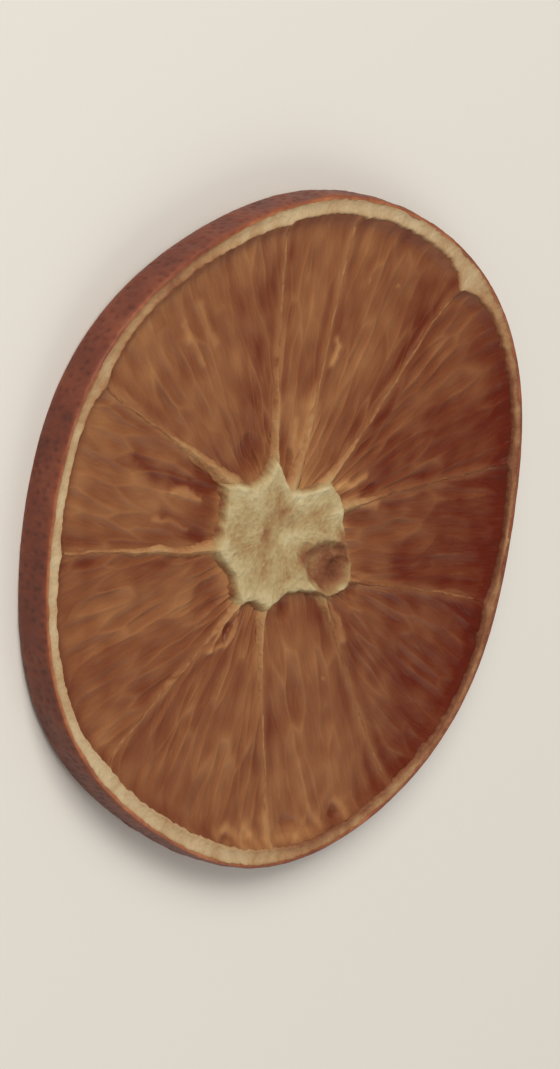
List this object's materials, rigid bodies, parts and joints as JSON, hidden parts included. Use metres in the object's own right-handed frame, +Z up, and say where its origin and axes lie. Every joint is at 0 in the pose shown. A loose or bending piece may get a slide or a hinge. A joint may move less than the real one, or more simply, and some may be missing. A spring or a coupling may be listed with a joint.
{
  "type": "dried orange slice",
  "caption": "Dried orange wheel: brown peel and pale albedo rim, thin membranes running to a star of pith, sunken amber flesh between them. Lies flat on its slightly wavy rim.",
  "frame": {"origin": "on the surface that the slice lies on, under the middle of its outline", "axes": "+Z up through the thickness, out of the shown cut face; +Y across the face, up in the picture; +X across the face, right in the picture"},
  "size_m": [0.064, 0.0636, 0.0042],
  "materials": {
    "flesh": "satin",
    "pith": "matte",
    "peel": "satin"
  },
  "bodies": {
    "root": {"orange_slice": "flesh"}
  },
  "joints": []
}
